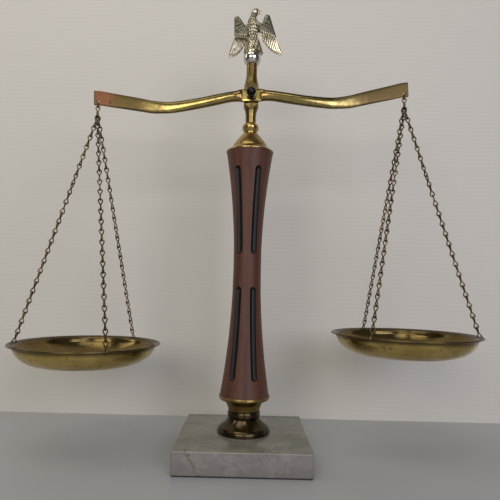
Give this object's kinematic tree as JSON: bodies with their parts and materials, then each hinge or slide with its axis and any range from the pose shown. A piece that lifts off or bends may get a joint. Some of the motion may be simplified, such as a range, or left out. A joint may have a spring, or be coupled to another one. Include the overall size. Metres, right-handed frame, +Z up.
{
  "type": "weighing scale",
  "caption": "Equal-arm balance: a swan-neck beam on a fluted wood column and stone base, with two round pans hung on chains and a bird finial.",
  "frame": {"origin": "centre of the base's underside, on the column's axis", "axes": "+X to the right along the beam, +Y away from the front, +Z up the column"},
  "size_m": [0.4696, 0.1465, 0.4692],
  "materials": {
    "felt": "dark felt",
    "marble": null,
    "walnut": "lacquered walnut",
    "bronze": "dark aged brass",
    "brass": "aged polished brass",
    "beam_brass": "cast and polished",
    "pan_brass": "spun, tarnished",
    "chain_wire": "tarnished wire",
    "knob": "near black",
    "nickel": "warm nickel plate",
    "steel": "zinc plated"
  },
  "bodies": {
    "stand": {"felt_pad": "felt", "marble_base": "marble", "base_nut": "steel", "base_washer": "steel", "tie_rod": "steel", "foot_flange": "bronze", "foot_ring": "bronze", "lower_cup": "brass", "wood_column": "walnut", "top_cap": "brass", "neck_collar": "brass", "pivot_post": "brass", "pivot_screw": "knob", "finial_stud": "steel", "finial_ball": "nickel", "eagle": "nickel"},
    "beam": {"beam": "beam_brass"},
    "left_ring": {"left_hanger_ring": "chain_wire"},
    "left_hanger": {"left_hanger_link": "chain_wire"},
    "left_pan_set": {"left_outer_chain": "chain_wire", "left_front_chain": "chain_wire", "left_back_chain": "chain_wire", "left_pan": "pan_brass"},
    "right_ring": {"right_hanger_ring": "chain_wire"},
    "right_hanger": {"right_hanger_link": "chain_wire"},
    "right_pan_set": {"right_outer_chain": "chain_wire", "right_front_chain": "chain_wire", "right_back_chain": "chain_wire", "right_pan": "pan_brass"}
  },
  "joints": [
    {"name": "beam_tilt", "type": "hinge", "parent": "stand", "child": "beam", "pos_m": [0, -0.00915, 0.369], "axis": [0, 1, 0], "range_deg": [-12.1, 17.9]},
    {"name": "left_ring_turn", "type": "hinge", "parent": "beam", "child": "left_ring", "pos_m": [-0.16041, -0.00915, 0.35774], "axis": [0, 1, 0], "range_deg": [-17.9, 12.1]},
    {"name": "left_swing", "type": "hinge", "parent": "left_ring", "child": "left_hanger", "pos_m": [-0.16041, -0.00915, 0.35224], "axis": [0, 1, 0], "range_deg": [-12, 12]},
    {"name": "left_sway", "type": "hinge", "parent": "left_hanger", "child": "left_pan_set", "pos_m": [-0.16041, -0.00915, 0.34407], "axis": [1, 0, 0], "range_deg": [-20, 20]},
    {"name": "right_ring_turn", "type": "hinge", "parent": "beam", "child": "right_ring", "pos_m": [0.16068, -0.00915, 0.37401], "axis": [0, 1, 0], "range_deg": [-17.9, 12.1]},
    {"name": "right_swing", "type": "hinge", "parent": "right_ring", "child": "right_hanger", "pos_m": [0.16068, -0.00915, 0.36851], "axis": [0, 1, 0], "range_deg": [-12, 12]},
    {"name": "right_sway", "type": "hinge", "parent": "right_hanger", "child": "right_pan_set", "pos_m": [0.16068, -0.00915, 0.36034], "axis": [1, 0, 0], "range_deg": [-20, 20]}
  ],
  "couplings": [
    {"joint": "left_ring_turn", "follows": "beam_tilt", "ratio": -1},
    {"joint": "right_ring_turn", "follows": "beam_tilt", "ratio": -1}
  ]
}
